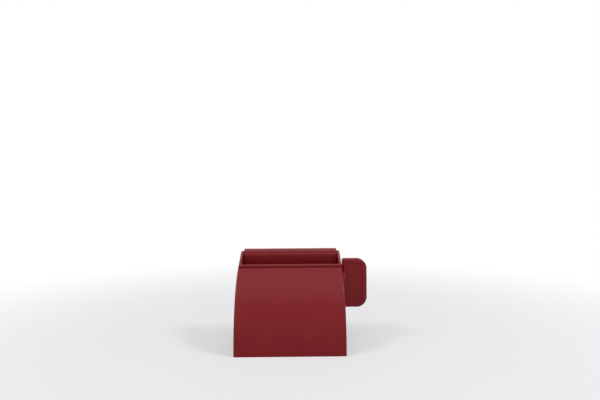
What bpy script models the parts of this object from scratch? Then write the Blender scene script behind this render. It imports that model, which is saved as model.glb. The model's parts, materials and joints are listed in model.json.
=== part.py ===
"""A stand-up toothpaste tube squeezer.

A wedge-shaped shell stands on its open base. The empty tail of a toothpaste tube goes down
through the slot near the top, between the two tines of a split shaft. Turning the key at the
right-hand side winds the tail round the shaft and draws the tube down against the slot.

Lengths are in metres. +Z is up, the front faces -Y and the key comes out at +X. The origin is on
the ground, at the middle of the whole squeezer with its key in.
"""

import math

import bmesh
import bpy
from mathutils import Matrix, Vector

# Shell: the outside, and the walls
BODY_WIDTH = 0.0720
BODY_DEPTH = 0.0500
BODY_HEIGHT = 0.0635
FRONT_WALL = 0.0020
SIDE_WALL = 0.0020
EDGE_ROUND = 0.0012

# Shell: the upper rear corner of each side wall, and its lean in degrees where it meets the back
WALL_CORNER = 0.0030
WALL_CORNER_LEAN = 30

# Shell: the sloping top, from the strip along the back to the lip of the front panel
STRIP_DEPTH = 0.0060
SLOT_GAP = 0.0145
LIP_DROP = 0.0095

# Shell: how far the two handles of the front panel's curve reach, as shares of its run and its height
SHOULDER_SHARE = 0.54
BELLY_SHARE = 0.55

# Shell: the bead along the lip, and the groove that sets it off from the panel. The depths are
# square to the sloping top: down to the bead's middle, and to the bottom of the groove.
BEAD_RADIUS = 0.0013
BEAD_DEPTH = 0.0007
GROOVE_RADIUS = 0.0009
GROOVE_DEPTH = 0.0011
GROOVE_DISTANCE = 0.0030

# Shell: the two bearings of the key
AXIS_BELOW_LIP = 0.0129
AXIS_AHEAD_OF_SLOT = 0.0038
BOSS_LENGTH = 0.0022
BOSS_WALL = 0.0024
CUP_SKIN = 0.0010

# Shell: the ribs that the rear cover rests against, and the pockets that its snaps go into
RIB_WIDTH = 0.0018
RIB_THICKNESS = 0.0012
RIB_MARGIN = 0.0040
POCKET_DEPTH = 0.0012
SNAP_HEIGHT = 0.0050
SNAP_THICKNESS = 0.0008
SNAP_REACH = 0.0009
SNAP_END_MARGIN = 0.0090

# Rear cover: the plate, its small gap to the walls, and the hem that hangs from the front of its strip
COVER_THICKNESS = 0.0020
COVER_LIFT = 0.0005
COVER_GAP = 0.00015
COVER_ROUND = 0.0003
COVER_CORNER = 0.00045
STRIP_THICKNESS = 0.0018
STRIP_BEND = 0.0032
HEM_THICKNESS = 0.0016
HEM_HEIGHT = 0.0095

# Rear cover: the groove along the front of the strip. The depth is square to the strip.
STRIP_GROOVE_RADIUS = 0.0006
STRIP_GROOVE_DEPTH = 0.0007

# Key: the split shaft
SHAFT_RADIUS = 0.0060
SPLIT_GAP = 0.0026
MOUTH_GAP = 0.0046
MOUTH_LENGTH = 0.0040
TIP_CHAMFER = 0.0008
TANG_LENGTH = 0.0100
TANG_WIDTH = 0.0080
SOCKET_WALL = 0.0014

# Key: the handle, a flat flag on a round hub
KEY_REACH = 0.0175
FLAG_HEIGHT = 0.0340
FLAG_THICKNESS = 0.0060
FLAG_GAP = 0.00035
FLAG_OUTER_CORNER = 0.0070
FLAG_INNER_CORNER = 0.0016
FLAG_ROUND = 0.0015
SINK_MARGIN = 0.0030
SINK_DEPTH = 0.0004
SINK_INNER_CORNER = 0.0012
HUB_MARGIN = 0.0025
HUB_THICKNESS = 0.0020
HUB_ROUND = 0.0004

# The clearance between neighbours, and how far a cutter runs past what it cuts
FIT_GAP = 0.0003
OVERRUN = 0.0020

# How finely round shapes are divided
CURVE_STEPS = 24
CORNER_STEPS = 8
ROUND_SIDES = 48
BEAD_SIDES = 20
EDGE_SEGMENTS = 3

# Places worked out from the sizes
LIP_SETBACK = STRIP_DEPTH + SLOT_GAP
LIP_HEIGHT = BODY_HEIGHT - LIP_DROP
TOP_SLOPE = LIP_DROP / LIP_SETBACK
HALF_WIDTH = BODY_WIDTH / 2
INNER_HALF_WIDTH = HALF_WIDTH - SIDE_WALL
AXIS_SETBACK = STRIP_DEPTH + SLOT_GAP / 2 + AXIS_AHEAD_OF_SLOT
AXIS_HEIGHT = LIP_HEIGHT - AXIS_BELOW_LIP
BORE_RADIUS = SHAFT_RADIUS + FIT_GAP
BEARING_START = INNER_HALF_WIDTH - BOSS_LENGTH
HUB_START = HALF_WIDTH + FIT_GAP
SNAP_SETBACK = COVER_THICKNESS / 2
MIDDLE_X = -KEY_REACH / 2


def depth_to_y(setback):
    """The Y of a point that lies this far in front of the shell's back."""
    return BODY_DEPTH / 2 - setback


def top_height(setback):
    """The height of the sloping top, this far in front of the shell's back."""
    return BODY_HEIGHT - TOP_SLOPE * setback


def clear_scene():
    for obj in list(bpy.data.objects):
        bpy.data.objects.remove(obj)


def new_collection(name):
    collection = bpy.data.collections.new(name)
    bpy.context.scene.collection.children.link(collection)
    return collection


def new_empty(name, collection, location):
    empty = bpy.data.objects.new(name, None)
    empty.location = location
    collection.objects.link(empty)
    return empty


def new_material(name, colour, roughness):
    material = bpy.data.materials.new(name)
    material.use_nodes = True
    shader = material.node_tree.nodes["Principled BSDF"]
    shader.inputs["Base Color"].default_value = (*colour, 1.0)
    shader.inputs["Roughness"].default_value = roughness
    return material


def place(obj, parent, collection, location=(0, 0, 0), turn=None):
    """Links an object, hangs it under its empty, and gives its place and turn there."""
    collection.objects.link(obj)
    obj.parent = parent
    obj.location = location
    if turn is not None:
        obj.rotation_euler = turn.to_euler()
    return obj


def combine(obj, helper, operation):
    """Cuts a helper out of a piece, or joins it to the piece. The helper itself isn't shown."""
    helper.hide_render = True
    helper.display_type = "WIRE"
    modifier = obj.modifiers.new(f"{operation.lower()}_{helper.name}", "BOOLEAN")
    modifier.operation = operation
    modifier.object = helper


def cut(obj, *helpers):
    for helper in helpers:
        combine(obj, helper, "DIFFERENCE")


def join(obj, *helpers):
    for helper in helpers:
        combine(obj, helper, "UNION")


def round_edges(obj, width, segments=EDGE_SEGMENTS):
    bevel = obj.modifiers.new("rounded_edges", "BEVEL")
    bevel.width = width
    bevel.segments = segments
    bevel.limit_method = "ANGLE"
    bevel.angle_limit = math.radians(40)


def round_marked(obj, width, marked):
    """Rounds only the edges whose two ends pass a test."""
    mesh = obj.data
    weights = mesh.attributes.new("bevel_weight_edge", "FLOAT", "EDGE")
    for edge in mesh.edges:
        start, end = (mesh.vertices[i].co for i in edge.vertices)
        weights.data[edge.index].value = float(marked(start, end))
    bevel = obj.modifiers.new("rounded_corners", "BEVEL")
    bevel.width = width
    bevel.segments = CORNER_STEPS
    bevel.limit_method = "WEIGHT"


def smooth(mesh):
    mesh.shade_smooth()
    mesh.set_sharp_from_angle(angle=math.radians(30))


# Turns that lay a shape's own Z axis along the part's X axis, and that stand a flat outline up:
# its two axes become Y and Z with its thickness along X, or X and Z with its thickness along Y.
ALONG_X = Matrix.Rotation(math.pi / 2, 3, "Y")
OUTLINE_IN_YZ = Matrix(((0, 0, 1), (1, 0, 0), (0, 1, 0)))
OUTLINE_IN_XZ = Matrix(((1, 0, 0), (0, 0, -1), (0, 1, 0)))


def box(name, low, high, parent, collection):
    """A box between two corners."""
    low, high = Vector(low), Vector(high)
    mesh = bpy.data.meshes.new(name)
    shape = bmesh.new()
    bmesh.ops.create_cube(shape, size=1)
    bmesh.ops.scale(shape, vec=high - low, verts=shape.verts)
    shape.to_mesh(mesh)
    shape.free()
    return place(bpy.data.objects.new(name, mesh), parent, collection, (low + high) / 2)


def rod(name, radius, start_x, end_x, y, z, parent, collection, sides=ROUND_SIDES):
    """A closed cylinder that lies along X."""
    mesh = bpy.data.meshes.new(name)
    shape = bmesh.new()
    bmesh.ops.create_cone(
        shape,
        cap_ends=True,
        segments=sides,
        radius1=radius,
        radius2=radius,
        depth=abs(end_x - start_x),
    )
    shape.to_mesh(mesh)
    shape.free()
    smooth(mesh)
    middle = ((start_x + end_x) / 2, y, z)
    return place(bpy.data.objects.new(name, mesh), parent, collection, middle, ALONG_X)


def slab(name, outline, thickness, turn, parent, collection):
    """A flat closed outline, thickened to both sides and made a mesh with whole flat ends."""
    curve = bpy.data.curves.new(name, "CURVE")
    curve.dimensions = "2D"
    curve.fill_mode = "BOTH"
    curve.extrude = thickness / 2
    spline = curve.splines.new("POLY")
    spline.points.add(len(outline) - 1)
    for point, (across, up) in zip(spline.points, outline):
        point.co = (across, up, 0, 1)
    spline.use_cyclic_u = True
    drawn = bpy.data.objects.new(name, curve)
    bpy.context.scene.collection.objects.link(drawn)
    graph = bpy.context.evaluated_depsgraph_get()
    mesh = bpy.data.meshes.new_from_object(drawn.evaluated_get(graph))
    bpy.data.objects.remove(drawn)
    shape = bmesh.new()
    shape.from_mesh(mesh)
    bmesh.ops.remove_doubles(shape, verts=shape.verts, dist=FIT_GAP / 10)
    bmesh.ops.dissolve_limit(
        shape, angle_limit=math.radians(0.5), verts=shape.verts, edges=shape.edges
    )
    bmesh.ops.recalc_face_normals(shape, faces=shape.faces)
    shape.to_mesh(mesh)
    shape.free()
    mesh.name = name
    return place(bpy.data.objects.new(name, mesh), parent, collection, turn=turn)


def turned(name, profile, parent, collection):
    """A turned piece along X. The profile is (radius, x) points, from its +X end to its -X end."""
    mesh = bpy.data.meshes.new(name)
    points = [(radius, 0, along) for radius, along in profile]
    mesh.from_pydata(points, [(i, i + 1) for i in range(len(points) - 1)], [])
    obj = place(bpy.data.objects.new(name, mesh), parent, collection, turn=ALONG_X)
    screw = obj.modifiers.new("turned", "SCREW")
    screw.axis = "Z"
    screw.steps = ROUND_SIDES
    screw.render_steps = ROUND_SIDES
    screw.use_merge_vertices = True
    screw.merge_threshold = FIT_GAP / 30
    return obj


def bezier(start, first, second, end, steps):
    """Points of a cubic curve, with its start and end."""
    points = []
    for i in range(steps + 1):
        t = i / steps
        points.append(
            (1 - t) ** 3 * Vector(start)
            + 3 * t * (1 - t) ** 2 * Vector(first)
            + 3 * t**2 * (1 - t) * Vector(second)
            + t**3 * Vector(end)
        )
    return points


def inside(line, distance):
    """A line of points moved to the left of its own direction, which is the shell's inside."""
    moved = []
    for i, point in enumerate(line):
        along = line[min(i + 1, len(line) - 1)] - line[max(i - 1, 0)]
        along.normalize()
        moved.append(point + distance * Vector((-along.y, along.x)))
    return moved


def arc(centre, radius, start, end, steps=CORNER_STEPS):
    """Points of an arc. Angles are in degrees, anticlockwise from the first axis."""
    found = []
    for i in range(steps + 1):
        angle = math.radians(start + (end - start) * i / steps)
        found.append((centre[0] + radius * math.cos(angle), centre[1] + radius * math.sin(angle)))
    return found


def front_curve():
    """The front panel from its lip to the ground, as (Y, Z). It leaves the lip along the top's slope."""
    lip = Vector((depth_to_y(LIP_SETBACK), LIP_HEIGHT))
    foot = Vector((depth_to_y(BODY_DEPTH), 0))
    run = lip.x - foot.x
    shoulder = lip + SHOULDER_SHARE * run * Vector((-1, -TOP_SLOPE))
    belly = Vector((foot.x, BELLY_SHARE * LIP_HEIGHT))
    return bezier(lip, shoulder, belly, foot, CURVE_STEPS)


def below_top(setback, thickness):
    """The height of the underside of a sloping top of this thickness."""
    return top_height(setback) - thickness * math.hypot(1, TOP_SLOPE)


def wall_corner():
    """The rounded upper rear corner of the side walls, from the back to the sloping top."""
    setback = WALL_CORNER * math.cos(math.radians(WALL_CORNER_LEAN))
    centre = (depth_to_y(setback), below_top(setback, WALL_CORNER))
    end = 90 + math.degrees(math.atan(TOP_SLOPE))
    return arc(centre, WALL_CORNER, WALL_CORNER_LEAN, end)


def shell_outline():
    """The side view of the shell. It runs on below and behind, where it is then cut flat."""
    back, front = depth_to_y(-OVERRUN), depth_to_y(BODY_DEPTH)
    corner = wall_corner()
    behind_corner = corner[0][1] - OVERRUN / math.tan(math.radians(WALL_CORNER_LEAN))
    ends = [(front, -OVERRUN), (back, -OVERRUN), (back, behind_corner)]
    return ends + corner + [tuple(point) for point in front_curve()]


def hollow_outline():
    """The hollow of the shell from the side, with the tube slot above it and the open back behind it."""
    inner = inside(front_curve(), FRONT_WALL)
    lip = depth_to_y(LIP_SETBACK)
    back = depth_to_y(-2 * OVERRUN)
    above = BODY_HEIGHT + 2 * OVERRUN
    corners = [
        (inner[-1].x, -2 * OVERRUN),
        (back, -2 * OVERRUN),
        (back, above),
        (lip, above),
        (lip, below_top(LIP_SETBACK, FRONT_WALL)),
    ]
    return corners + [tuple(point) for point in inner if point.x < lip]


def between(half_width, back, front, bottom, top):
    """The corners of a box that is centred across the shell. Back and front are setbacks."""
    return (-half_width, depth_to_y(front), bottom), (half_width, depth_to_y(back), top)


def at_side(sign, start, end, back, front, bottom, top):
    """The corners of a box at one side of the shell, between two distances from its middle."""
    low, high = sorted((sign * start, sign * end))
    return (low, depth_to_y(front), bottom), (high, depth_to_y(back), top)


def snap_bottoms():
    """The lower ends of the snaps along each side of the rear cover."""
    return {
        "low": SNAP_END_MARGIN,
        "high": BODY_HEIGHT - SNAP_END_MARGIN - SNAP_HEIGHT,
    }


def top_groove(name, radius, depth, setback, parent, cutters):
    """A rod that cuts a groove along the sloping top, from side to side."""
    return rod(
        name,
        radius,
        -HALF_WIDTH - OVERRUN,
        HALF_WIDTH + OVERRUN,
        depth_to_y(setback),
        below_top(setback, depth - radius),
        parent,
        cutters,
        BEAD_SIDES,
    )


SIDES = {"left": -1, "right": 1}
FACES = {"front": -1, "rear": 1}


def make_front_shell(housing, parts, cutters, material):
    """The curved front panel with its lip, and both side walls with the bearings of the key."""
    shell = slab("front_shell", shell_outline(), BODY_WIDTH, OUTLINE_IN_YZ, housing, parts)
    round_edges(shell, EDGE_ROUND)
    ground = box(
        "ground_cut",
        *between(HALF_WIDTH + OVERRUN, -2 * OVERRUN, BODY_DEPTH + OVERRUN, -2 * OVERRUN, 0),
        housing,
        cutters,
    )
    behind = box(
        "back_cut",
        *between(HALF_WIDTH + OVERRUN, -3 * OVERRUN, 0, -3 * OVERRUN, BODY_HEIGHT + 3 * OVERRUN),
        housing,
        cutters,
    )
    hollow = slab(
        "hollow_cut", hollow_outline(), 2 * INNER_HALF_WIDTH, OUTLINE_IN_YZ, housing, cutters
    )
    cut(shell, ground, behind, hollow)

    # The bead stiffens the panel's free edge, and the tube is drawn down over it.
    bead_end = HALF_WIDTH - EDGE_ROUND / 2
    bead = rod(
        "lip_bead",
        BEAD_RADIUS,
        -bead_end,
        bead_end,
        depth_to_y(LIP_SETBACK + BEAD_RADIUS / 2),
        below_top(LIP_SETBACK, BEAD_DEPTH),
        housing,
        cutters,
        BEAD_SIDES,
    )
    groove_setback = LIP_SETBACK + GROOVE_DISTANCE / math.hypot(1, TOP_SLOPE)
    groove = top_groove(
        "lip_groove_cut", GROOVE_RADIUS, GROOVE_DEPTH, groove_setback, housing, cutters
    )
    join(shell, bead)
    cut(shell, groove)

    axis_y = depth_to_y(AXIS_SETBACK)
    wall_middle = HALF_WIDTH - SIDE_WALL / 2
    for side, sign in SIDES.items():
        boss = rod(
            f"boss_{side}",
            BORE_RADIUS + BOSS_WALL,
            sign * BEARING_START,
            sign * wall_middle,
            axis_y,
            AXIS_HEIGHT,
            housing,
            cutters,
        )
        rib = box(
            f"cover_rib_{side}",
            *at_side(
                sign,
                INNER_HALF_WIDTH - RIB_WIDTH,
                wall_middle,
                COVER_THICKNESS + FIT_GAP,
                COVER_THICKNESS + FIT_GAP + RIB_THICKNESS,
                RIB_MARGIN,
                BODY_HEIGHT - HEM_HEIGHT - RIB_MARGIN,
            ),
            housing,
            cutters,
        )
        join(shell, boss, rib)
        for level, bottom in snap_bottoms().items():
            pocket = box(
                f"snap_pocket_cut_{side}_{level}",
                *at_side(
                    sign,
                    INNER_HALF_WIDTH - OVERRUN,
                    INNER_HALF_WIDTH + POCKET_DEPTH,
                    SNAP_SETBACK - SNAP_THICKNESS / 2 - FIT_GAP,
                    SNAP_SETBACK + SNAP_THICKNESS / 2 + FIT_GAP,
                    bottom - FIT_GAP,
                    bottom + SNAP_HEIGHT + FIT_GAP,
                ),
                housing,
                cutters,
            )
            cut(shell, pocket)

    key_hole = rod(
        "key_hole_cut",
        BORE_RADIUS,
        BEARING_START - OVERRUN,
        HALF_WIDTH + OVERRUN,
        axis_y,
        AXIS_HEIGHT,
        housing,
        cutters,
    )
    cup = rod(
        "shaft_cup_cut",
        BORE_RADIUS,
        CUP_SKIN - HALF_WIDTH,
        OVERRUN - BEARING_START,
        axis_y,
        AXIS_HEIGHT,
        housing,
        cutters,
    )
    cut(shell, key_hole, cup)
    shell.data.materials.append(material)
    return shell


def cover_front():
    """The side view of the cover's outer front: from the back, down the strip, round to the hem."""
    setback = STRIP_DEPTH - STRIP_BEND
    centre = (depth_to_y(setback), below_top(setback, STRIP_BEND))
    start = 90 + math.degrees(math.atan(TOP_SLOPE))
    hem_foot = (depth_to_y(STRIP_DEPTH), top_height(STRIP_DEPTH) - HEM_HEIGHT)
    return [(depth_to_y(0), BODY_HEIGHT), *arc(centre, STRIP_BEND, start, 180), hem_foot]


def cover_outline():
    """The side view of the rear cover: its plate, the strip along the top and the hem that hangs from it."""
    hem_back = STRIP_DEPTH - HEM_THICKNESS
    inner = [
        (hem_back, top_height(STRIP_DEPTH) - HEM_HEIGHT),
        (hem_back, below_top(hem_back, STRIP_THICKNESS)),
        (COVER_THICKNESS, below_top(COVER_THICKNESS, STRIP_THICKNESS)),
        (COVER_THICKNESS, COVER_LIFT),
    ]
    foot = (depth_to_y(0), COVER_LIFT)
    return [foot, *cover_front(), *((depth_to_y(setback), height) for setback, height in inner)]


def at_front_end(start, end):
    """True for the edges where the cover's outer front meets its two ends."""
    front = [Vector(point) for point in cover_front()]
    on_front = [any((point.xy - place).length < FIT_GAP / 10 for place in front) for point in (start, end)]
    return all(on_front) and start.z * end.z > 0


def make_rear_cover(housing, parts, cutters, material):
    """The back plate with the strip along the top. It closes the shell from behind and snaps into it."""
    half_width = INNER_HALF_WIDTH - COVER_GAP
    cover = slab("rear_cover", cover_outline(), 2 * half_width, OUTLINE_IN_YZ, housing, parts)
    round_marked(cover, COVER_CORNER, at_front_end)
    round_edges(cover, COVER_ROUND, 1)

    # The back edge of the groove lies where the strip ends and its bend begins.
    bend_setback = STRIP_DEPTH - STRIP_BEND * (1 - math.sin(math.atan(TOP_SLOPE)))
    groove = top_groove(
        "strip_groove_cut",
        STRIP_GROOVE_RADIUS,
        STRIP_GROOVE_DEPTH,
        bend_setback + STRIP_GROOVE_RADIUS / math.hypot(1, TOP_SLOPE),
        housing,
        cutters,
    )
    cut(cover, groove)
    for side, sign in SIDES.items():
        for level, bottom in snap_bottoms().items():
            snap = box(
                f"snap_{side}_{level}",
                *at_side(
                    sign,
                    half_width - OVERRUN,
                    half_width + SNAP_REACH,
                    SNAP_SETBACK - SNAP_THICKNESS / 2,
                    SNAP_SETBACK + SNAP_THICKNESS / 2,
                    bottom,
                    bottom + SNAP_HEIGHT,
                ),
                housing,
                cutters,
            )
            join(cover, snap)
    cover.data.materials.append(material)
    return cover


def shaft_profile():
    """The shaft from its end at the handle to the tip of its tines, as (radius, x)."""
    tip = CUP_SKIN + FIT_GAP - HALF_WIDTH
    return [
        (0, HALF_WIDTH),
        (SHAFT_RADIUS, HALF_WIDTH),
        (SHAFT_RADIUS, tip + TIP_CHAMFER),
        (SHAFT_RADIUS - TIP_CHAMFER, tip),
        (0, tip),
    ]


def split_outline():
    """The gap between the tines as (X, Y): round at its closed end and wider at the open tip."""
    half = SPLIT_GAP / 2
    closed = BEARING_START - FIT_GAP - half
    tip = -HALF_WIDTH
    return [
        (tip, MOUTH_GAP / 2),
        (tip, -MOUTH_GAP / 2),
        (tip + MOUTH_LENGTH, -half),
        *arc((closed, 0), half, -90, 90),
        (tip + MOUTH_LENGTH, half),
    ]


def make_split_shaft(key, parts, cutters, material):
    """The shaft that winds the tube. Its split stands upright when the handle does."""
    shaft = turned("split_shaft", shaft_profile(), key, parts)
    split = slab(
        "split_cut",
        split_outline(),
        2 * (SHAFT_RADIUS + OVERRUN),
        Matrix.Identity(3),
        key,
        cutters,
    )
    tang_half = FLAG_THICKNESS / 2 - SOCKET_WALL - FIT_GAP
    tang = box(
        "tang",
        (HALF_WIDTH - OVERRUN, -tang_half, -TANG_WIDTH / 2),
        (HALF_WIDTH + TANG_LENGTH, tang_half, TANG_WIDTH / 2),
        key,
        cutters,
    )
    cut(shaft, split)
    join(shaft, tang)
    shaft.data.materials.append(material)
    return shaft


def flag_outline(margin, big, small):
    """The handle as (X, Z), drawn inside its edge by a margin. The big corners are the outer ones."""
    near = HALF_WIDTH + FLAG_GAP + margin
    far = HALF_WIDTH + KEY_REACH - margin
    half = FLAG_HEIGHT / 2 - margin
    return [
        *arc((far - big, big - half), big, -90, 0),
        *arc((far - big, half - big), big, 0, 90),
        *arc((near + small, half - small), small, 90, 180),
        *arc((near + small, small - half), small, 180, 270),
    ]


def make_key_handle(key, parts, cutters, material):
    """The flat flag that finger and thumb turn, and the round hub that stops it at the wall."""
    outline = flag_outline(0, FLAG_OUTER_CORNER, FLAG_INNER_CORNER)
    flag = slab("key_handle", outline, FLAG_THICKNESS, OUTLINE_IN_XZ, key, parts)
    round_edges(flag, FLAG_ROUND)

    # Both faces are sunk a little inside the rim, so that finger and thumb find them.
    sunk_outline = flag_outline(SINK_MARGIN, FLAG_OUTER_CORNER - SINK_MARGIN, SINK_INNER_CORNER)
    for face, sign in FACES.items():
        sunk = slab(
            f"sunk_{face}_cut", sunk_outline, 2 * SINK_DEPTH, OUTLINE_IN_XZ, key, cutters
        )
        sunk.location.y = sign * FLAG_THICKNESS / 2
        cut(flag, sunk)
    hub = rod(
        "hub",
        SHAFT_RADIUS + HUB_MARGIN,
        HUB_START,
        HUB_START + HUB_THICKNESS,
        0,
        0,
        key,
        cutters,
    )
    round_edges(hub, HUB_ROUND, 1)
    socket_half = FLAG_THICKNESS / 2 - SOCKET_WALL
    socket = box(
        "socket_cut",
        (HUB_START - OVERRUN, -socket_half, -TANG_WIDTH / 2 - FIT_GAP),
        (HALF_WIDTH + TANG_LENGTH + FIT_GAP, socket_half, TANG_WIDTH / 2 + FIT_GAP),
        key,
        cutters,
    )
    join(flag, hub)
    cut(flag, socket)
    flag.data.materials.append(material)
    return flag


def main():
    clear_scene()
    parts = new_collection("toothpaste_squeezer")
    cutters = new_collection("cutters")
    red = new_material("red_moulded_plastic", (0.205, 0.022, 0.026), 0.34)
    shaft_red = new_material("red_shaft_plastic", (0.190, 0.020, 0.024), 0.42)

    # The shell is placed from its own middle, and the key from its axis.
    housing = new_empty("housing_middle", parts, (MIDDLE_X, 0, 0))
    key = new_empty("key_axis", parts, (MIDDLE_X, depth_to_y(AXIS_SETBACK), AXIS_HEIGHT))
    make_front_shell(housing, parts, cutters, red)
    make_rear_cover(housing, parts, cutters, red)
    make_split_shaft(key, parts, cutters, shaft_red)
    make_key_handle(key, parts, cutters, red)


main()
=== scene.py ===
# %% [markdown]
# # A toothpaste tube squeezer
#
# This squeezer is four red mouldings. A wedge-shaped shell stands on its open base, and a hooked
# cover snaps in behind it. The tail of a tube goes down through the slot at the top and into the
# split of a shaft, and a flat handle at the right-hand side turns the shaft and winds up the tail.
#
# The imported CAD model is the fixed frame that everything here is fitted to. Its solids are right
# in size but coarse on their curves, so each one is modelled again with fine curves and soft
# edges, at exactly the same place. All lengths are in metres, with +Z up and the front at -Y.

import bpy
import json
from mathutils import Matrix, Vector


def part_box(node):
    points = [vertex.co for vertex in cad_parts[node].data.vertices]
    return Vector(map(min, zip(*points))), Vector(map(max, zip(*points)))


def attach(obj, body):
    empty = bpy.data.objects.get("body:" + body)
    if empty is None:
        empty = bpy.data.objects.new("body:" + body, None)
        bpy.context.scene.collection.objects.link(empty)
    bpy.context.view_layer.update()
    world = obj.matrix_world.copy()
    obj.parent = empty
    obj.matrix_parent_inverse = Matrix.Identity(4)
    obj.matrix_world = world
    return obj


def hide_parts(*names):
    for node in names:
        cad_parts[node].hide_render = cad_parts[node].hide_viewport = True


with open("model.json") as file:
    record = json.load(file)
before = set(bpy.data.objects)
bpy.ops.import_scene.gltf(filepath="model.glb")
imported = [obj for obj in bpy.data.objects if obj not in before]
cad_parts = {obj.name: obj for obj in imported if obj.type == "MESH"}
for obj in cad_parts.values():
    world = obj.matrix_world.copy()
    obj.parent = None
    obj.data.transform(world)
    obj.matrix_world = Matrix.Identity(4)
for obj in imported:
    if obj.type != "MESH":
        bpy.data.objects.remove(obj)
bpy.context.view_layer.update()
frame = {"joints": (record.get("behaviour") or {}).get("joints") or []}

# %% [markdown]
# ## Measures
#
# Every place that the frame can give is read from it: the outside of the shell, the foot of the
# cover, the ends of the shaft and the handle, and the axis of the key, which is the joint of the
# two bodies. What lies inside those boxes, such as a wall, the slot or the curve of the front, is
# named once, where it is first needed, in millimetres times MM, the way a drawing gives it.

# %% Measures of the whole
import json
import math

import bmesh
import bpy
from mathutils import Vector

MM = 0.001


def in_mm(length):
    """A length in millimetres, for printing."""
    return round(length / MM, 2)


shell_low, shell_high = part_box("front_shell")
cover_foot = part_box("rear_cover")[0].z
shaft_low, shaft_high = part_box("split_shaft")
handle_low, handle_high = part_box("key_handle")
left, front = shell_low.xy
right, back = shell_high.xy
middle = (left + right) / 2
axis = Vector(frame["joints"][0]["pos_m"])
print("shell", in_mm(right - left), "x", in_mm(back - front), "mm")
print("key axis in mm:", [in_mm(value) for value in axis])

# %% [markdown]
# ## The walls, the sloping top and the slot
#
# Seen from the side, the tops of the walls slope down from the back to the lip, and the strip of
# the cover, the slot and the lip follow each other down that slope. So one function gives the
# height of the slope at any depth, and everything at the top is placed with it.

# %% The slope of the top
WALL = 2.0 * MM
TOP_BACK = 63.5 * MM
STRIP_DEPTH = 6.0 * MM
SLOT_DEPTH = 14.5 * MM
LIP_DROP = 9.5 * MM
lip_y = back - STRIP_DEPTH - SLOT_DEPTH
slope = LIP_DROP / (STRIP_DEPTH + SLOT_DEPTH)
slope_angle = math.degrees(math.atan(slope))
slant = math.hypot(1, slope)


def top_z(y):
    """The height of the sloping top at a depth."""
    return TOP_BACK + slope * (y - back)


print("lip at y", in_mm(lip_y), "mm,", in_mm(top_z(lip_y)), "mm high")

# %% [markdown]
# ## Camera
#
# The photograph looks at the squeezer from a little above, nearly square on. The edges of the
# squeezer in the picture were measured and a camera was fitted to them: a phone's main lens, some
# 29 cm in front of the squeezer and 10 cm up, held level but for a fraction of a degree.

# %% Camera
camera_data = bpy.data.cameras.new("photo_camera")
camera = bpy.data.objects.new("photo_camera", camera_data)
bpy.context.scene.collection.objects.link(camera)
camera_data.sensor_width = 36
camera_data.lens = 27.9
camera_data.clip_start = 0.01
camera.location = (-0.0052, -0.3187, 0.0994)
camera.rotation_euler = [math.radians(angle) for angle in (89.94, 0.35, -0.64)]
bpy.context.scene.camera = camera
bpy.context.scene.view_settings.view_transform = "Standard"
print("camera at", [in_mm(value) for value in camera.location], "mm")

# %% [markdown]
# ## Colours and nodes
#
# A colour on screen is an sRGB value, but shaders work in linear light. One function turns the
# hex value of a colour into linear numbers, so that colours can be written the way a paint or
# plastic maker gives them. Another adds a shader node together with its settings and its links,
# which keeps each material short enough to read.


# %% Colour and node helpers
def colour(hex_value):
    """An sRGB hex colour as linear red, green and blue, with full opacity."""
    shares = [int(hex_value[i : i + 2], 16) / 255 for i in (1, 3, 5)]
    linear = [s / 12.92 if s <= 0.04045 else ((s + 0.055) / 1.055) ** 2.4 for s in shares]
    return (*linear, 1.0)


def add_node(tree, kind, settings=None, links=None):
    """Adds a node with settings and links. A socket goes by its name or its number."""
    node = tree.nodes.new(kind)
    for name, value in (settings or {}).items():
        if isinstance(name, str) and hasattr(node, name):
            setattr(node, name, value)
        else:
            node.inputs[name].default_value = value
    for name, source in (links or {}).items():
        tree.links.new(source, node.inputs[name])
    return node


print("mid grey in linear light:", [round(value, 3) for value in colour("#808080")[:3]])

# %% [markdown]
# ## Moulded red plastic
#
# The squeezer is injection-moulded ABS, coloured right through, so it has no paint to wear off.
# The steel mould was spark-eroded to a fine satin, which leaves a grain of about a quarter of a
# millimetre on the plastic. Cooling leaves the large faces very slightly wavy, a few millimetres
# from crest to crest, and the pigment is never mixed quite evenly: it lies in faint streaks along
# the way the melt ran, up from the open base. Together they break up the sheen softly, which is
# how the eye tells a moulding from a painted face. The shaft comes from a second, duller mould.
#
# The grain could be an image, but noise on Object coordinates needs no unwrapping and has the
# same size on every piece. It is drawn at 0.6 mm, since a quarter millimetre is too fine to show.
# Noise seldom leaves the range from 0.3 to 0.7, so the streaks take their shade from that range.

# %% Moulded plastic
GRAIN = 0.6 * MM
WAVE = 4.0 * MM
WAVE_DEPTH = 0.012 * MM
STREAK = 9.0 * MM
STREAK_STRETCH = 4
ABS_IOR = 1.53
GLOSS_LEVEL = 0.2
GLOSS_SPREAD = 0.06


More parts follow.
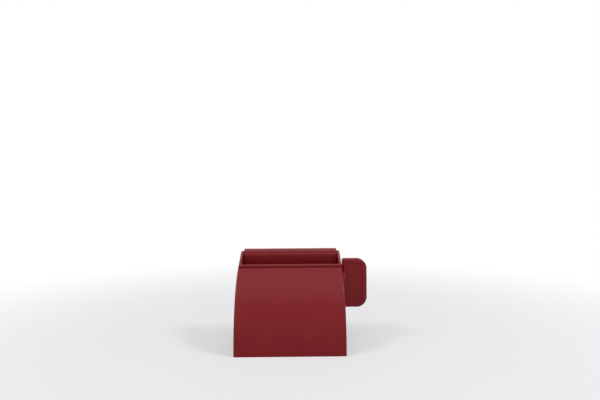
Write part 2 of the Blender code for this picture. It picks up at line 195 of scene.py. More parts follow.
def moulded_plastic(name, deep, light, roughness, grain_depth):
    """Satin ABS between two close shades, with grain, waves and faint streaks of pigment."""
    material = bpy.data.materials.new(name)
    material.use_nodes = True
    tree = material.node_tree
    tree.nodes.clear()
    place = add_node(tree, "ShaderNodeTexCoord").outputs["Object"]
    flow = add_node(
        tree, "ShaderNodeMapping", {"Scale": (1, 1, 1 / STREAK_STRETCH)}, {"Vector": place}
    )
    streaks = add_node(
        tree,
        "ShaderNodeTexNoise",
        {"Scale": 1 / STREAK, "Detail": 3.0, "Roughness": 0.55, "Distortion": 0.6},
        {"Vector": flow.outputs[0]},
    )
    waves = add_node(
        tree, "ShaderNodeTexNoise", {"Scale": 1 / WAVE, "Detail": 1.5}, {"Vector": place}
    )
    grain = add_node(
        tree, "ShaderNodeTexNoise", {"Scale": 1 / GRAIN, "Detail": 2.0}, {"Vector": place}
    )
    shade = add_node(
        tree,
        "ShaderNodeMapRange",
        {"From Min": 0.3, "From Max": 0.7},
        {"Value": streaks.outputs["Fac"]},
    )
    tint = add_node(
        tree,
        "ShaderNodeMix",
        {"data_type": "RGBA", 6: colour(deep), 7: colour(light)},
        {"Factor": shade.outputs[0]},
    )
    gloss = add_node(
        tree,
        "ShaderNodeMapRange",
        {"To Min": roughness - GLOSS_SPREAD, "To Max": roughness + GLOSS_SPREAD},
        {"Value": waves.outputs["Fac"]},
    )
    wavy = add_node(
        tree,
        "ShaderNodeBump",
        {"Strength": 1.0, "Distance": WAVE_DEPTH},
        {"Height": waves.outputs["Fac"]},
    )
    grained = add_node(
        tree,
        "ShaderNodeBump",
        {"Strength": 1.0, "Distance": grain_depth},
        {"Height": grain.outputs["Fac"], "Normal": wavy.outputs[0]},
    )
    shader = add_node(
        tree,
        "ShaderNodeBsdfPrincipled",
        {"IOR": ABS_IOR, "Specular IOR Level": GLOSS_LEVEL},
        {
            "Base Color": tint.outputs[2],
            "Roughness": gloss.outputs[0],
            "Normal": grained.outputs[0],
        },
    )
    add_node(tree, "ShaderNodeOutputMaterial", links={"Surface": shader.outputs[0]})
    print(name, "uses", len(tree.nodes), "nodes")
    return material


satin_red = moulded_plastic(
    "satin_moulded_abs", deep="#790F17", light="#7D1219", roughness=0.36, grain_depth=0.012 * MM
)
matt_red = moulded_plastic(
    "matt_moulded_abs", deep="#720E15", light="#771118", roughness=0.48, grain_depth=0.018 * MM
)

# %% [markdown]
# ## Tools: selecting and rounding
#
# These are the moves that a modeller makes by hand. An operator works on all that is selected, so
# one object is first made the only selected one, and edges are then picked by where they are and
# rounded (Ctrl B). A Bevel modifier could round every edge by its angle, but edges that are
# picked can each have a radius of their own.

# %% Selecting and rounding
SHARP_ANGLE = 50


def select_only(obj):
    """Makes one object, or none, the only selected one, in object mode."""
    if bpy.context.mode != "OBJECT":
        bpy.ops.object.mode_set(mode="OBJECT")
    bpy.ops.object.select_all(action="DESELECT")
    if obj is not None:
        obj.select_set(True)
        bpy.context.view_layer.objects.active = obj


def edit(obj, mode="EDGE"):
    """Starts editing one object, with nothing of its mesh selected."""
    select_only(obj)
    bpy.ops.object.mode_set(mode="EDIT")
    bpy.ops.mesh.select_mode(type=mode)
    bpy.ops.mesh.select_all(action="DESELECT")


def round_edges(obj, width, segments, wanted=None):
    """Rounds the edges whose two ends pass a test, or else all that are still sharp."""
    edit(obj)
    if wanted is None:
        bpy.ops.mesh.edges_select_sharp(sharpness=math.radians(SHARP_ANGLE))
    else:
        mesh = bmesh.from_edit_mesh(obj.data)
        for edge in mesh.edges:
            edge.select_set(wanted(edge.verts[0].co, edge.verts[1].co))
        bmesh.update_edit_mesh(obj.data)
    bpy.ops.mesh.bevel(offset=width, segments=segments, affect="EDGES", clamp_overlap=True)
    select_only(obj)


print("edges count as sharp above", SHARP_ANGLE, "degrees")

# %% [markdown]
# ## Tools: drawing and slicing
#
# A solid with a flat outline is drawn as on paper. A small plane is merged into one point, the
# outline is drawn by extruding it point after point (E), then it is filled (F) and pulled out (E
# again). A curve object could give the same outline, but it would have to be made a mesh, and
# here each point lies exactly where it is wanted. A solid is sliced flat with a bisect.


# %% Drawing and slicing
def settle(obj, name):
    """Names a new primitive and applies its place, so that its mesh has the frame's coordinates."""
    obj.name = obj.data.name = name
    select_only(obj)
    bpy.ops.object.transform_apply(location=True, rotation=True, scale=True)
    return obj


def draw(name, outline, along):
    """A solid whose flat outline is drawn point by point, filled, and pulled out along a line."""
    select_only(None)
    bpy.ops.mesh.primitive_plane_add(size=MM, location=outline[0])
    solid = settle(bpy.context.object, name)
    edit(solid, "VERT")
    bpy.ops.mesh.select_all(action="SELECT")
    bpy.ops.mesh.merge(type="CENTER")
    for here, there in zip(outline, outline[1:]):
        step = Vector(there) - Vector(here)
        bpy.ops.mesh.extrude_vertices_move(TRANSFORM_OT_translate={"value": step})
    bpy.ops.mesh.select_all(action="SELECT")
    bpy.ops.mesh.edge_face_add()
    bpy.ops.mesh.extrude_region_move(TRANSFORM_OT_translate={"value": along})
    bpy.ops.mesh.select_all(action="SELECT")
    bpy.ops.mesh.normals_make_consistent(inside=False)
    select_only(solid)
    print(name, "drawn with", len(outline), "points")
    return solid


def slice_flat(obj, point, outward):
    """Cuts a solid flat at a plane, takes off what is outside it, and closes the cut."""
    edit(obj)
    bpy.ops.mesh.select_all(action="SELECT")
    bpy.ops.mesh.bisect(plane_co=point, plane_no=outward, use_fill=True, clear_outer=True)
    select_only(obj)


# %% [markdown]
# ## Tools: rods, blocks and Booleans
#
# The details of a moulding are mostly rods and blocks that are joined to it or cut out of it, as
# they are in the steel of the mould. Each starts as a primitive at its own size and place, gets
# soft edges, and is then combined with the piece by a Boolean modifier. The exact solver keeps
# the surface closed, and the modifier is applied at once, since the pieces keep no history.

# %% Rods, blocks and Booleans
ROD_SIDES = 96


def rod(name, radius, start, end, y, z, sides=ROD_SIDES):
    """A cylinder that lies along X."""
    select_only(None)
    bpy.ops.mesh.primitive_cylinder_add(
        vertices=sides,
        radius=radius,
        depth=abs(end - start),
        location=((start + end) / 2, y, z),
        rotation=(0, math.pi / 2, 0),
    )
    return settle(bpy.context.object, name)


def block(name, corner, opposite):
    """A box between two opposite corners, given in any order."""
    corner, opposite = Vector(corner), Vector(opposite)
    select_only(None)
    bpy.ops.mesh.primitive_cube_add(size=1, location=(corner + opposite) / 2)
    bpy.context.object.scale = [abs(length) for length in opposite - corner]
    return settle(bpy.context.object, name)


def combine(obj, tools, operation):
    """Combines tools with a piece one after another, and deletes them."""
    for tool in tools:
        modifier = obj.modifiers.new("combined", "BOOLEAN")
        modifier.operation = operation
        modifier.solver = "EXACT"
        modifier.object = tool
        select_only(obj)
        bpy.ops.object.modifier_apply(modifier=modifier.name)
        bpy.data.objects.remove(tool)


def join(obj, *tools):
    """Joins solids to a piece."""
    combine(obj, tools, "UNION")


def cut(obj, *tools):
    """Cuts solids out of a piece."""
    combine(obj, tools, "DIFFERENCE")


print("a rod has", ROD_SIDES, "sides, unless it is a small one")

# %% [markdown]
# ## Tools: finishing
#
# Booleans leave doubled points and long thin faces. So a finished piece is cleaned up, shaded
# smooth across its gentle edges, and given weighted normals, with which the large faces decide
# how light falls on the small ones beside them and stay flat to the eye. Points closer than a
# trace, far less than any real detail, count as one. Then the piece gets its plastic and its body.

# %% Finishing a piece
TRACE = 0.002 * MM
SMOOTH_ANGLE = 35


def finish(obj, material, body):
    """Cleans up a piece's mesh, shades it smooth between its edges and fixes it to its body."""
    edit(obj, "VERT")
    bpy.ops.mesh.select_all(action="SELECT")
    bpy.ops.mesh.remove_doubles(threshold=TRACE)
    bpy.ops.mesh.normals_make_consistent(inside=False)
    select_only(obj)
    bpy.ops.object.shade_smooth_by_angle(angle=math.radians(SMOOTH_ANGLE))
    weighted = obj.modifiers.new("weighted_normals", "WEIGHTED_NORMAL")
    weighted.keep_sharp = True
    weighted.weight = 100
    bpy.ops.object.modifier_apply(modifier=weighted.name)
    obj.data.materials.clear()
    obj.data.materials.append(material)
    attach(obj, body)
    print(obj.name, len(obj.data.polygons), "faces")


print("points closer than", round(TRACE / MM, 3), "mm count as one")

# %% [markdown]
# ## Front shell: the side view
#
# The shell is one moulding: the curved front with its lip, and both side walls. From the side, its
# top slopes down from the back to the lip, and the front leaves the lip along that same slope and
# swings down until it stands upright at the ground. An arc would need a straight stretch to meet
# both, but one cubic Bezier curve with two handles has no flat and no kink. SHOULDER and BELLY are
# the reach of the two handles, as shares of the depth and the height. The line runs on past the
# ground and the back, so that slicing it there leaves crisp flat edges after the corners have been
# rounded.

# %% The side view of the shell
OVERRUN = 2.0 * MM
CURVE_STEPS = 80
ARC_STEPS = 12
SHOULDER = 0.54
BELLY = 0.55
CORNER = 3.0 * MM
CORNER_LEAN = 30


def arc(centre, radius, start, end, steps=ARC_STEPS):
    """Points of an arc, with its angles in degrees."""
    turns = [math.radians(start + (end - start) * i / steps) for i in range(steps + 1)]
    return [
        Vector((centre[0] + radius * math.cos(turn), centre[1] + radius * math.sin(turn)))
        for turn in turns
    ]


def front_curve():
    """The front from the lip to the ground, as (y, z) points."""
    lip = Vector((lip_y, top_z(lip_y)))
    foot = Vector((front, 0))
    shoulder = lip + SHOULDER * (lip.x - foot.x) * Vector((-1, -slope))
    belly = Vector((front, BELLY * lip.y))
    points = []
    for i in range(CURVE_STEPS + 1):
        t = i / CURVE_STEPS
        weights = ((1 - t) ** 3, 3 * t * (1 - t) ** 2, 3 * t**2 * (1 - t), t**3)
        corners = (lip, shoulder, belly, foot)
        points.append(sum((w * c for w, c in zip(weights, corners)), Vector((0, 0))))
    return points


curve = front_curve()
corner_y = back - CORNER * math.cos(math.radians(CORNER_LEAN))
corner_centre = (corner_y, top_z(corner_y) - CORNER * slant)
wall_corner = arc(corner_centre, CORNER, CORNER_LEAN, 90 + slope_angle)
behind = wall_corner[0].y - OVERRUN / math.tan(math.radians(CORNER_LEAN))
outside = [Vector((front, -OVERRUN)), Vector((back + OVERRUN, -OVERRUN))]
outside += [Vector((back + OVERRUN, behind)), *wall_corner, *curve]
print(len(outside), "points round the shell")

# %% [markdown]
# ## Front shell: the solid
#
# The outline is pulled out across the whole width, and the edges that run round both sides are
# rounded by 1.2 mm, as a mould maker rounds every outside corner. They are picked by the plane
# that they lie in, so that no edge across the shell is rounded with them. The ground and the back
# are sliced flat after that.

# %% The solid of the shell
EDGE_ROUND = 1.2 * MM


def in_side_view(x, points):
    """Side-view points as points in space, at one x."""
    return [Vector((x, point.x, point.y)) for point in points]


def in_plane(direction, *places):
    """A test for edges in a plane square to a direction, such as "x", at one of some places."""

    def wanted(start, end):
        """True where both ends of an edge lie at the same one of the places."""
        here, there = getattr(start, direction), getattr(end, direction)
        return any(abs(here - place) + abs(there - place) < TRACE for place in places)

    return wanted


shell = draw("front_shell_moulding", in_side_view(left, outside), (right - left, 0, 0))
round_edges(shell, EDGE_ROUND, segments=6, wanted=in_plane("x", left, right))
slice_flat(shell, (0, 0, 0), (0, 0, -1))
slice_flat(shell, (0, back, 0), (0, 1, 0))
print("shell:", len(shell.data.polygons), "faces before its hollow")

# %% [markdown]
# ## Front shell: the hollow
#
# A Solidify modifier would give the wall its thickness, but it leaves the slot and the open back
# to be cut afterwards. So the hollow is a second solid, drawn 2 mm inside the curve. It takes in
# the slot above and the open back behind, and one cut opens all of them. Its own rounded sides
# leave a small radius in the corners, where the real wall would otherwise crack. What is still
# sharp then is the rims, which are softened last.

# %% The hollow of the shell
INNER_ROUND = 0.6 * MM
RIM_ROUND = 0.35 * MM


def inside(line, distance):
    """A line of side-view points moved into the shell, square to itself."""
    moved = []
    for i, point in enumerate(line):
        along = (line[min(i + 1, len(line) - 1)] - line[max(i - 1, 0)]).normalized()
        moved.append(point + distance * Vector((-along.y, along.x)))
    return moved


inner = [point for point in inside(curve, WALL) if point.x < lip_y]
above = TOP_BACK + 2 * OVERRUN
chamber = [
    Vector((inner[-1].x, -2 * OVERRUN)),
    Vector((back + 2 * OVERRUN, -2 * OVERRUN)),
    Vector((back + 2 * OVERRUN, above)),
    Vector((lip_y, above)),
    Vector((lip_y, top_z(lip_y) - WALL * slant)),
    *inner,
]
inner_left, inner_right = left + WALL, right - WALL
hollow = draw("hollow", in_side_view(inner_left, chamber), (inner_right - inner_left, 0, 0))
round_edges(hollow, INNER_ROUND, segments=4, wanted=in_plane("x", inner_left, inner_right))
cut(shell, hollow)
round_edges(shell, RIM_ROUND, segments=3)
print("shell:", len(shell.data.polygons), "faces with its hollow and soft rims")

# %% [markdown]
# ## Front shell: the lip
#
# A bead runs along the free edge of the front panel. It stiffens the edge and is smooth for the
# tube that is drawn down over it, and it catches the light as one thin bright line. A groove just
# in front of it sets it off with a dark line. Both could be points of the side view, but then the
# corners of the shell would follow them. So they are rods along X: one joined, one cut out.

# %% The bead and the groove of the lip
BEAD = 1.3 * MM
BEAD_DEPTH = 0.7 * MM
BEAD_ROUND = 0.5 * MM
BEAD_SIDES = 64
GROOVE = 0.9 * MM
GROOVE_DEPTH = 1.1 * MM
GROOVE_DISTANCE = 3.0 * MM
GROOVE_SIDES = 48


def cut_groove(obj, name, radius, depth, y):
    """Cuts a groove along X into the sloping top, with its depth square to the slope."""
    z = top_z(y) - (depth - radius) * slant
    cut(obj, rod(name, radius, left - OVERRUN, right + OVERRUN, y, z, GROOVE_SIDES))


bead_end = EDGE_ROUND / 2
bead = rod(
    "lip_bead",
    BEAD,
    left + bead_end,
    right - bead_end,
    lip_y - BEAD / 2,
    top_z(lip_y) - BEAD_DEPTH * slant,
    BEAD_SIDES,
)
round_edges(bead, BEAD_ROUND, segments=4)
join(shell, bead)
cut_groove(shell, "lip_groove", GROOVE, GROOVE_DEPTH, lip_y - GROOVE_DISTANCE / slant)
print("lip bead", in_mm(2 * BEAD), "mm across, groove", in_mm(GROOVE_DEPTH), "mm deep")

# %% [markdown]
# ## Front shell: the bearings
#
# The shaft turns in two plain bearings: a blind cup in the left wall and a hole in the right one,
# each made longer by a round boss on the inside. Bushes would wear less, but plastic in plastic is
# enough for a few turns a day. FIT is the gap that lets the shaft turn.

# %% Bearings of the key
FIT = 0.3 * MM
SHAFT_RADIUS = (shaft_high.z - shaft_low.z) / 2
BORE = SHAFT_RADIUS + FIT
BOSS_LENGTH = 2.2 * MM
BOSS_WALL = 2.4 * MM
BOSS_ROUND = 0.4 * MM
CUP_SKIN = 1.0 * MM
walls = (("left", left, 1), ("right", right, -1))

for side, wall_x, inward in walls:
    boss = rod(
        f"boss_{side}",
        BORE + BOSS_WALL,
        wall_x + inward * WALL / 2,
        wall_x + inward * (WALL + BOSS_LENGTH),
        axis.y,
        axis.z,
    )
    round_edges(boss, BOSS_ROUND, segments=3)
    join(shell, boss)
bearing_left = left + WALL + BOSS_LENGTH
bearing_right = right - WALL - BOSS_LENGTH
cup = rod("shaft_cup", BORE, left + CUP_SKIN, bearing_left + OVERRUN, axis.y, axis.z)
hole = rod("key_hole", BORE, bearing_right - OVERRUN, right + OVERRUN, axis.y, axis.z)
cut(shell, cup, hole)
print("bearings", in_mm(2 * BORE), "mm across,", in_mm(WALL + BOSS_LENGTH), "mm long with the wall")

# %% [markdown]
# ## Front shell: ribs and snap pockets
#
# Along the back of each wall a rib carries the rear cover, and two shallow pockets take the
# cover's snaps. Screws would need bosses and would rust in a bathroom, so a cover like this one
# snaps in. These are small blocks with soft edges, joined to the shell or cut out of it.

# %% Ribs and snap pockets
COVER_WALL = 2.0 * MM
RIB = (1.8 * MM, 1.2 * MM)
RIB_MARGIN = 4.0 * MM
RIB_ROUND = 0.3 * MM
HEM_HEIGHT = 9.5 * MM
SNAP_HEIGHT = 5.0 * MM
SNAP_THICKNESS = 0.8 * MM
SNAP_MARGIN = 9.0 * MM
POCKET_DEPTH = 1.2 * MM
snap_bottoms = (SNAP_MARGIN, TOP_BACK - SNAP_MARGIN - SNAP_HEIGHT)
snap_y = back - COVER_WALL / 2
pocket_half = SNAP_THICKNESS / 2 + FIT
rib_back = back - COVER_WALL - FIT

for side, wall_x, inward in walls:
    rib = block(
        f"rib_{side}",
        (wall_x + inward * WALL / 2, rib_back - RIB[1], RIB_MARGIN),
        (wall_x + inward * (WALL + RIB[0]), rib_back, TOP_BACK - HEM_HEIGHT - RIB_MARGIN),
    )
    round_edges(rib, RIB_ROUND, segments=2)
    join(shell, rib)
    pocket_x = wall_x + inward * (WALL - POCKET_DEPTH)
    for bottom in snap_bottoms:
        pocket = block(
            "snap_pocket",
            (pocket_x, snap_y - pocket_half, bottom - FIT),
            (wall_x + inward * (WALL + OVERRUN), snap_y + pocket_half, bottom + SNAP_HEIGHT + FIT),
        )
        cut(shell, pocket)
finish(shell, satin_red, "housing")
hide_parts("front_shell")

# %% [markdown]
# ## Rear cover: the hook
#
# The cover is a flat plate whose top is folded over twice, like a hook: a sloping strip lies in
# line with the tops of the side walls, and a hem hangs down from it into the slot. The hem gives
# the tube a smooth face to slide on. The hook could be bent from a plate, but its wall changes
# from place to place, so it is again an outline pulled out along X. It is a little narrower than
# the room between the walls, which leaves the fine joints that show at its ends.

# %% The hook of the rear cover
COVER_FIT = 0.15 * MM
STRIP_THICKNESS = 1.8 * MM
STRIP_BEND = 3.2 * MM
HEM_THICKNESS = 1.6 * MM
hem_front = back - STRIP_DEPTH
hem_back = hem_front + HEM_THICKNESS
hem_foot = top_z(hem_front) - HEM_HEIGHT
plate_front = back - COVER_WALL
bend_y = hem_front + STRIP_BEND
bend_centre = (bend_y, top_z(bend_y) - STRIP_BEND * slant)
outer_front = [
    Vector((back, top_z(back))),
    *arc(bend_centre, STRIP_BEND, 90 + slope_angle, 180),
    Vector((hem_front, hem_foot)),
]
hook = [
    Vector((back, cover_foot)),
    *outer_front,
    Vector((hem_back, hem_foot)),
    Vector((hem_back, top_z(hem_back) - STRIP_THICKNESS * slant)),
    Vector((plate_front, top_z(plate_front) - STRIP_THICKNESS * slant)),
    Vector((plate_front, cover_foot)),
]
cover_left, cover_right = inner_left + COVER_FIT, inner_right - COVER_FIT
cover_width = cover_right - cover_left
cover = draw("rear_cover_moulding", in_side_view(cover_left, hook), (cover_width, 0, 0))
print("cover", in_mm(cover_width), "mm wide")

# %% [markdown]
# ## Rear cover: its rounded ends
#
# Both ends of the strip and the hem are rounded more than the rest, so that each meets its wall
# in a small notch. Their edges follow the fold, so they are picked by the points of the outline
# that they were drawn with. All other sharp edges get a smaller radius after that.

# %% The rounded ends of the strip and the hem
COVER_CORNER = 0.45 * MM
COVER_ROUND = 0.37 * MM


def on_front_end(start, end):
    """A test for the edges where the cover's outer front meets its two ends."""
    on_front = [
        any((point.yz - place).length < TRACE for place in outer_front) for point in (start, end)
    ]
    return all(on_front) and abs(start.x - end.x) < TRACE


round_edges(cover, COVER_CORNER, segments=8, wanted=on_front_end)
round_edges(cover, COVER_ROUND, segments=3)
print("cover:", len(cover.data.polygons), "faces with rounded ends")

# %% [markdown]
# ## Rear cover: the groove of the strip
#
# A fine groove runs along the strip, and its back edge lies where the bend begins. It sets the
# rounded bend off, as the groove in front of the lip does on the other side of the slot, and it
# is cut in the same way.

# %% The groove of the strip
STRIP_GROOVE = 0.6 * MM
STRIP_GROOVE_DEPTH = 0.7 * MM
bend_start = hem_front + STRIP_BEND * (1 - slope / slant)
strip_groove_y = bend_start - STRIP_GROOVE / slant
cut_groove(cover, "strip_groove", STRIP_GROOVE, STRIP_GROOVE_DEPTH, strip_groove_y)
print("strip groove", in_mm(back - strip_groove_y), "mm in front of the back")

# %% [markdown]
# ## Rear cover: the snaps
#
# Two flat tongues stand out from each end of the plate and spring into the pockets of the walls.
# Hooks would hold harder, but flat tongues come out of a simple mould. All four are alike, so one
# loop makes them.

# %% Snaps of the rear cover
SNAP_REACH = 0.9 * MM
SNAP_ROUND = 0.2 * MM
for edge_x, outward in ((cover_left, -1), (cover_right, 1)):
    for bottom in snap_bottoms:
        snap = block(
            "snap",
            (edge_x - outward * OVERRUN, snap_y - SNAP_THICKNESS / 2, bottom),
            (edge_x + outward * SNAP_REACH, snap_y + SNAP_THICKNESS / 2, bottom + SNAP_HEIGHT),
        )
        round_edges(snap, SNAP_ROUND, segments=2)
        join(cover, snap)
print("snaps", in_mm(SNAP_REACH), "mm long, at heights", [in_mm(z) for z in snap_bottoms], "mm")

# %% [markdown]
# ## Rear cover: the pin marks
#
# Pins push a moulding out of its mould, and each leaves a faint round mark. They are put where
# nobody looks, here on the inside of the cover. A bump in the plastic would do for the eye alone,
# but the marks are real edges here: each is a disc, cut in by a tenth of a millimetre.

# %% Pin marks inside the rear cover
MARK = 2.0 * MM
MARK_DEPTH = 0.1 * MM
MARK_SIDES = 24
MARKS_ACROSS = (-24 * MM, 0, 24 * MM)
MARKS_UP = (10 * MM, 34 * MM)
last_angle = 360 - 360 / MARK_SIDES
for across in MARKS_ACROSS:
    for up in MARKS_UP:
        circle = arc((middle + across, up), MARK, 0, last_angle, MARK_SIDES - 1)
        rim = [Vector((point.x, plate_front - OVERRUN, point.y)) for point in circle]
        cut(cover, draw("pin_mark", rim, (0, OVERRUN + MARK_DEPTH, 0)))
finish(cover, satin_red, "housing")
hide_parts("rear_cover")

# %% [markdown]
# ## Split shaft: the rod and its slit
#
# The shaft is a rod with one long slit, which makes two springy tines. The slit is round at its
# closed end, so that it doesn't crack there, and opens wider at the tip, where the tail of the
# tube is pushed in. The tines could be drawn as two half rods, but cutting one slit out of a rod
# keeps them exactly alike.

# %% The rod and its slit
SPLIT = 2.6 * MM
MOUTH = 4.6 * MM
MOUTH_LENGTH = 4.0 * MM
TIP_ROUND = 0.8 * MM
SLIT_ROUND = 0.25 * MM
shaft = rod("split_shaft_moulding", SHAFT_RADIUS, shaft_low.x, right, axis.y, axis.z)
round_edges(shaft, TIP_ROUND, segments=5)
tip = shaft_low.x - OVERRUN
closed = bearing_right - FIT - SPLIT / 2
mouth_end = shaft_low.x + MOUTH_LENGTH
slit_outline = [
    Vector((tip, -MOUTH / 2)),
    Vector((mouth_end, -SPLIT / 2)),
    *arc((closed, 0), SPLIT / 2, -90, 90),
    Vector((mouth_end, SPLIT / 2)),
    Vector((tip, MOUTH / 2)),
]
low_z = axis.z - SHAFT_RADIUS - OVERRUN
slit = draw(
    "slit",
    [Vector((point.x, axis.y + point.y, low_z)) for point in slit_outline],
    (0, 0, 2 * (SHAFT_RADIUS + OVERRUN)),
)
cut(shaft, slit)
round_edges(shaft, SLIT_ROUND, segments=2)
print("tines", in_mm(closed - shaft_low.x), "mm long and", in_mm(SPLIT), "mm apart")

# %% [markdown]
# ## Split shaft: the tang
#
# At the other end a flat tang goes into the handle. A round end would slip there when the tube
# gets tight, but a flat one can't turn in its socket.

# %% The tang
HANDLE_THICKNESS = 6.0 * MM
SOCKET_WALL = 1.4 * MM
TANG_WIDTH = 8.0 * MM
TANG_ROUND = 0.3 * MM
handle_half = HANDLE_THICKNESS / 2
tang_half = handle_half - SOCKET_WALL - FIT
tang = block(
    "tang",
    (right - OVERRUN, axis.y - tang_half, axis.z - TANG_WIDTH / 2),
    (shaft_high.x, axis.y + tang_half, axis.z + TANG_WIDTH / 2),
)
round_edges(tang, TANG_ROUND, segments=2)
join(shaft, tang)
finish(shaft, matt_red, "key")
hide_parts("split_shaft")

# %% [markdown]
# ## Key handle: the flag
#
# Finger and thumb turn a flat flag, 34 mm tall. It could be drawn as an outline with arcs, but
# rounding a block is quicker and keeps the arcs smooth. The block is set to size, its two outer
# corners get a large radius and the inner ones, beside the wall, a small one, and the rim is then
# rounded all the way round. The small radius has to be larger than that of the rim.

# %% The flag
FLAG_GAP = 0.35 * MM
OUTER_CORNER = 7.0 * MM
INNER_CORNER = 1.6 * MM
FLAG_ROUND = 1.5 * MM
near, far = right + FLAG_GAP, handle_high.x
flag = block(
    "key_handle_moulding",
    (near, axis.y - handle_half, handle_low.z),
    (far, axis.y + handle_half, handle_high.z),
)


def corners_at(x):
    """A test for the edges along Y at one x."""

    def wanted(start, end):
        """True where both ends of an edge are at that x and at one height."""
        return abs(start.x - x) + abs(end.x - x) < TRACE and abs(start.z - end.z) < TRACE

    return wanted


round_edges(flag, OUTER_CORNER, segments=14, wanted=corners_at(far))
round_edges(flag, INNER_CORNER, segments=8, wanted=corners_at(near))
on_faces = in_plane("y", axis.y - handle_half, axis.y + handle_half)
round_edges(flag, FLAG_ROUND, segments=8, wanted=on_faces)
print("flag", in_mm(far - near), "x", in_mm(handle_high.z - handle_low.z), "mm")

# %% [markdown]
# ## Key handle: the sunk faces
#
# Both faces of the flag are sunk a little, so that the fingers find them, and the step stands out
# as a fine line inside the edge. An inset of each face could make them too, but it would follow
# the corners of the flag. So each is cut out with a flat block, which has corners of its own and
# a rounded edge at its bottom.

# %% The sunk faces
SINK_MARGIN = 3.0 * MM
SINK_INNER_CORNER = 1.2 * MM
SINK_DEPTH = 0.4 * MM
SINK_ROUND = 0.3 * MM
for facing in (-1, 1):
    face_y = axis.y + facing * handle_half
    bottom_y = face_y - facing * SINK_DEPTH
    sunk = block(
        "sunk_face",
        (near + SINK_MARGIN, bottom_y, handle_low.z + SINK_MARGIN),
        (far - SINK_MARGIN, face_y + facing * OVERRUN, handle_high.z - SINK_MARGIN),
    )
    round_edges(sunk, OUTER_CORNER - SINK_MARGIN, segments=10, wanted=corners_at(far - SINK_MARGIN))
    round_edges(sunk, SINK_INNER_CORNER, segments=6, wanted=corners_at(near + SINK_MARGIN))
    round_edges(sunk, SINK_ROUND, segments=4, wanted=in_plane("y", bottom_y))
    cut(flag, sunk)
print("flag:", len(flag.data.polygons), "faces, both sides sunk by", in_mm(SINK_DEPTH), "mm")

# %% [markdown]
# ## Key handle: the hub and the socket
#
# A round hub at the root of the flag stops the key at the wall and hides the hole. The socket for
# the tang goes through the hub into the flag, a little wider than the tang all round.

# %% The hub and the socket for the tang
HUB_RADIUS = (handle_high.y - handle_low.y) / 2
HUB_THICKNESS = 2.0 * MM
HUB_ROUND = 0.4 * MM
hub = rod("hub", HUB_RADIUS, handle_low.x, handle_low.x + HUB_THICKNESS, axis.y, axis.z)
round_edges(hub, HUB_ROUND, segments=4)
join(flag, hub)
socket_half = handle_half - SOCKET_WALL
socket = block(
    "socket",
    (handle_low.x - OVERRUN, axis.y - socket_half, axis.z - TANG_WIDTH / 2 - FIT),
    (shaft_high.x + FIT, axis.y + socket_half, axis.z + TANG_WIDTH / 2 + FIT),
)
cut(flag, socket)
finish(flag, satin_red, "key")
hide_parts("key_handle")

# %% [markdown]
# ## The table
#
# The squeezer stands on a plain pale table, with its shadow under it. Far from the squeezer the
# table fades into plain white, which hides the horizon. A curved backdrop would hide it too, but
# only from one side. The fade is for the camera alone, so that the table throws back no more
# light than a pale table would.

# %% The table
TABLE_SIZE = 12
FADE_START = 0.10
FADE_END = 0.45
FADE_LEAST = 0.35
WHITE = (1, 1, 1, 1)
select_only(None)
bpy.ops.mesh.primitive_plane_add(size=TABLE_SIZE, location=(0, 0, 0))
table = settle(bpy.context.object, "table")
pale = bpy.data.materials.new("pale_table")
pale.use_nodes = True
tree = pale.node_tree
tree.nodes.clear()
spot = add_node(tree, "ShaderNodeTexCoord").outputs["Object"]
distance = add_node(tree, "ShaderNodeVectorMath", {"operation": "LENGTH"}, {0: spot})
fade = add_node(
    tree,
    "ShaderNodeMapRange",
    {
        "interpolation_type": "SMOOTHSTEP",
        "From Min": FADE_START,
        "From Max": FADE_END,
        "To Min": FADE_LEAST,
    },
    {"Value": distance.outputs["Value"]},
)
rays = add_node(tree, "ShaderNodeLightPath")
seen = add_node(
    tree,
    "ShaderNodeMath",
    {"operation": "MULTIPLY"},
    {0: fade.outputs[0], 1: rays.outputs["Is Camera Ray"]},
)
surface = add_node(tree, "ShaderNodeBsdfDiffuse", {"Color": colour("#E4E4E2")})
white = add_node(tree, "ShaderNodeEmission", {"Color": WHITE, "Strength": 1.0})
mixed = add_node(
    tree,
    "ShaderNodeMixShader",
    links={0: seen.outputs[0], 1: surface.outputs[0], 2: white.outputs[0]},
)
add_node(tree, "ShaderNodeOutputMaterial", links={"Surface": mixed.outputs[0]})
table.data.materials.append(pale)
print("the table is plain white from", in_mm(FADE_END), "mm on")

# %% [markdown]
# ## The background
#
# The background is plain white where the camera, a reflection or a clear material looks at it,
# and a softer, slightly cool grey where it only lights the scene. One strength for both would
# either grey the picture or wash out the red, so two backgrounds are mixed by the kind of ray.

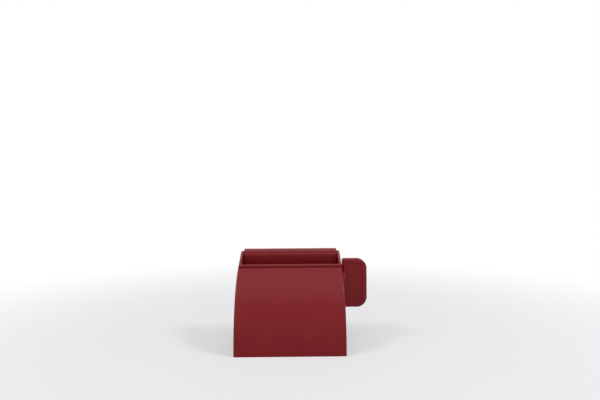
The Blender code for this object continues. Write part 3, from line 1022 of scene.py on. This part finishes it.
# %% The background
world = bpy.data.worlds.new("studio")
bpy.context.scene.world = world
world.use_nodes = True
tree = world.node_tree
tree.nodes.clear()
rays = add_node(tree, "ShaderNodeLightPath")
shiny = add_node(
    tree,
    "ShaderNodeMath",
    {"operation": "ADD"},
    {0: rays.outputs["Is Glossy Ray"], 1: rays.outputs["Is Transmission Ray"]},
)
seen = add_node(
    tree,
    "ShaderNodeMath",
    {"operation": "ADD", "use_clamp": True},
    {0: rays.outputs["Is Camera Ray"], 1: shiny.outputs[0]},
)
room = add_node(tree, "ShaderNodeBackground", {"Color": colour("#EEF3FF"), "Strength": 0.4})
backdrop = add_node(tree, "ShaderNodeBackground", {"Color": WHITE, "Strength": 1.0})
mixed = add_node(
    tree,
    "ShaderNodeMixShader",
    links={0: seen.outputs[0], 1: room.outputs[0], 2: backdrop.outputs[0]},
)
add_node(tree, "ShaderNodeOutputWorld", links={"Surface": mixed.outputs[0]})
print("the background uses", len(tree.nodes), "nodes")

# %% [markdown]
# ## The lamps
#
# The lamps are soft boxes: one high at each side, whose light runs along the rounded sides of the
# shell, one overhead for the top, and a weak one each behind and in front. The right-hand one is
# the stronger of the two at the sides, so that the handle stands out from the wall. Point lamps
# would give the same levels, but with hard shadows and small hot highlights on the satin plastic.

# %% The lamps
AIM = Vector((middle, 0, 0.03))
WARM_LIGHT = "#FFFDFA"
PLAIN_LIGHT = "#FFFFFF"
COOL_LIGHT = "#FAFBFF"


def soft_lamp(name, place, size, watts, hex_value):
    """A square soft box that points at the squeezer."""
    data = bpy.data.lights.new(name, "AREA")
    data.size = size
    data.energy = watts
    data.color = colour(hex_value)[:3]
    lamp = bpy.data.objects.new(name, data)
    lamp.location = place
    lamp.rotation_euler = (AIM - Vector(place)).to_track_quat("-Z", "Y").to_euler()
    bpy.context.scene.collection.objects.link(lamp)
    print(name, watts, "W")


soft_lamp("left_light", (-0.6, -0.3, 0.8), size=0.25, watts=2.6, hex_value=WARM_LIGHT)
soft_lamp("right_light", (0.6, -0.25, 0.8), size=0.25, watts=3.2, hex_value=WARM_LIGHT)
soft_lamp("back_light", (0.15, 1.0, 0.4), size=0.7, watts=1.1, hex_value=PLAIN_LIGHT)
soft_lamp("front_light", (0, -1.1, 0.35), size=1.2, watts=0.9, hex_value=PLAIN_LIGHT)
soft_lamp("top_light", (0, -0.35, 1.0), size=0.9, watts=1.9, hex_value=COOL_LIGHT)
